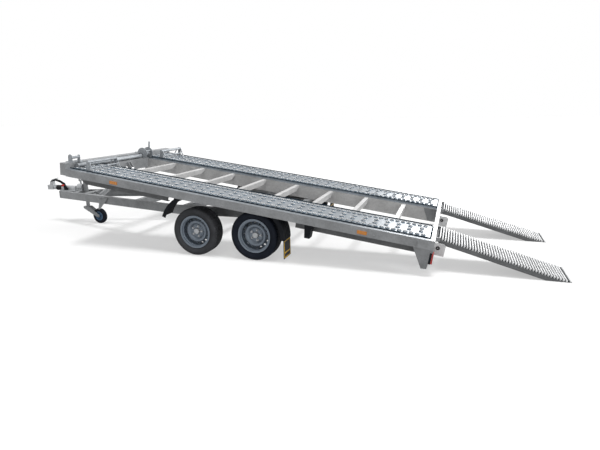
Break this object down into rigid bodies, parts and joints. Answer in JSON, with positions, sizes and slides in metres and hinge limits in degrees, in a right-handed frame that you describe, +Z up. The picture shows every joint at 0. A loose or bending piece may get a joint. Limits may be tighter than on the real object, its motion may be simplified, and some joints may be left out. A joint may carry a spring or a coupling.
{
  "type": "tilt-bed car trailer",
  "caption": "Galvanised tilt-bed car trailer with tandem wheels, perforated wheel tracks, loading ramps, jockey wheel, hand-pumped tilt ram and a front winch.",
  "frame": {"origin": "on the ground, at the middle of the overall length and width", "axes": "+X rearward, towards the ramps; +Y to the trailer's right; +Z up"},
  "size_m": [6.7378, 2.112, 1.1354],
  "materials": {
    "galvanised_steel": "hot-dip galvanised, satin with a faint spangle",
    "tyre_rubber": "matt",
    "wheel_steel": "silver paint",
    "cast_drum": "rough",
    "jockey_rim_plastic": "moulded blue grey",
    "black_rubber": "matt",
    "black_plastic": "moulded",
    "black_metal": "black paint",
    "red_plastic": "moulded",
    "red_lens": "ribbed lens",
    "amber_lens": "lens",
    "silver_casting": "zinc plated",
    "chromed_rod": "polished"
  },
  "bodies": {
    "chassis": {"drawbar_arms": "galvanised_steel", "cross_members": "galvanised_steel", "pivot_pins": "galvanised_steel", "overrun_housing": "silver_casting", "coupling_gaiter": "black_rubber", "coupling_head": "silver_casting", "coupling_handle": "silver_casting", "handbrake_lever": "black_metal", "handbrake_grip": "red_plastic", "hand_pump": "silver_casting", "latch_bracket": "galvanised_steel", "jockey_sleeve": "galvanised_steel", "axle_front": "galvanised_steel", "axle_rear": "galvanised_steel"},
    "wheel_front_left": {"tyre_front_left": "tyre_rubber", "rim_front_left": "wheel_steel", "brake_drum_front_left": "cast_drum"},
    "wheel_front_right": {"tyre_front_right": "tyre_rubber", "rim_front_right": "wheel_steel", "brake_drum_front_right": "cast_drum"},
    "wheel_rear_left": {"tyre_rear_left": "tyre_rubber", "rim_rear_left": "wheel_steel", "brake_drum_rear_left": "cast_drum"},
    "wheel_rear_right": {"tyre_rear_right": "tyre_rubber", "rim_rear_right": "wheel_steel", "brake_drum_rear_right": "cast_drum"},
    "jockey_leg": {"jockey_leg": "galvanised_steel"},
    "jockey_fork": {"jockey_fork": "galvanised_steel"},
    "jockey_wheel": {"jockey_tyre": "tyre_rubber", "jockey_rim": "jockey_rim_plastic"},
    "ramp_left": {"ramp_left": "galvanised_steel"},
    "ramp_right": {"ramp_right": "galvanised_steel"},
    "cylinder_barrel": {"cylinder_barrel": "silver_casting"},
    "cylinder_rod": {"cylinder_rod": "chromed_rod"},
    "deck": {"corner_plates": "galvanised_steel", "deck_ribs": "galvanised_steel", "front_beam": "galvanised_steel", "front_wall": "galvanised_steel", "inner_beams": "galvanised_steel", "mud_flaps": "black_rubber", "mudguards": "black_plastic", "pivot_lugs": "galvanised_steel", "ramp_bars": "galvanised_steel", "rear_beam": "galvanised_steel", "rear_gussets": "galvanised_steel", "rope_post": "galvanised_steel", "side_markers": "amber_lens", "side_rails": "galvanised_steel", "stringers": "galvanised_steel", "tail_lamps": "black_plastic", "tail_lenses": "red_lens", "track_left": "galvanised_steel", "track_right": "galvanised_steel", "wheel_chocks": "black_plastic", "wheel_stops": "galvanised_steel", "winch_drum": "galvanised_steel", "winch_frame": "galvanised_steel"}
  },
  "joints": [
    {"name": "deck_tilt", "type": "hinge", "parent": "chassis", "child": "deck", "pos_m": [0.01108, 0, 0.43], "axis": [0, -1, 0], "range_deg": [0, 7.98]},
    {"name": "wheel_front_left", "type": "hinge", "parent": "chassis", "child": "wheel_front_left", "pos_m": [-0.31392, -0.9245, 0.2625], "axis": [0, 1, 0], "continuous": true},
    {"name": "wheel_front_right", "type": "hinge", "parent": "chassis", "child": "wheel_front_right", "pos_m": [-0.31392, 0.9245, 0.2625], "axis": [0, 1, 0], "continuous": true},
    {"name": "wheel_rear_left", "type": "hinge", "parent": "chassis", "child": "wheel_rear_left", "pos_m": [0.38608, -0.9245, 0.2625], "axis": [0, 1, 0], "continuous": true},
    {"name": "wheel_rear_right", "type": "hinge", "parent": "chassis", "child": "wheel_rear_right", "pos_m": [0.38608, 0.9245, 0.2625], "axis": [0, 1, 0], "continuous": true},
    {"name": "jockey_slide", "type": "slide", "parent": "chassis", "child": "jockey_leg", "axis": [0, 0, 1], "range_m": [0, 0.1]},
    {"name": "jockey_swivel", "type": "hinge", "parent": "jockey_leg", "child": "jockey_fork", "pos_m": [-2.67892, 0, 0.25], "axis": [0, 0, 1], "continuous": true},
    {"name": "jockey_roll", "type": "hinge", "parent": "jockey_fork", "child": "jockey_wheel", "pos_m": [-2.48692, 0, 0.109], "axis": [0, 1, 0], "continuous": true},
    {"name": "ramp_left", "type": "hinge", "parent": "deck", "child": "ramp_left", "pos_m": [2.22051, -0.6575, 0.32223], "axis": [0, -1, 0], "range_deg": [0, 20]},
    {"name": "ramp_right", "type": "hinge", "parent": "deck", "child": "ramp_right", "pos_m": [2.22051, 0.6575, 0.32223], "axis": [0, -1, 0], "range_deg": [0, 20]},
    {"name": "cylinder_pitch", "type": "hinge", "parent": "chassis", "child": "cylinder_barrel", "pos_m": [-2.44392, 0, 0.4], "axis": [0, 1, 0], "range_deg": [0, 20.3]},
    {"name": "rod_slide", "type": "slide", "parent": "cylinder_barrel", "child": "cylinder_rod", "axis": [0.8269, 0, 0.5623], "range_m": [-0.141, 0]}
  ],
  "couplings": [
    {"joint": "cylinder_pitch", "follows": "deck_tilt", "ratio": 2.5225},
    {"joint": "rod_slide", "follows": "deck_tilt", "m_per_rad": -1.0063}
  ]
}
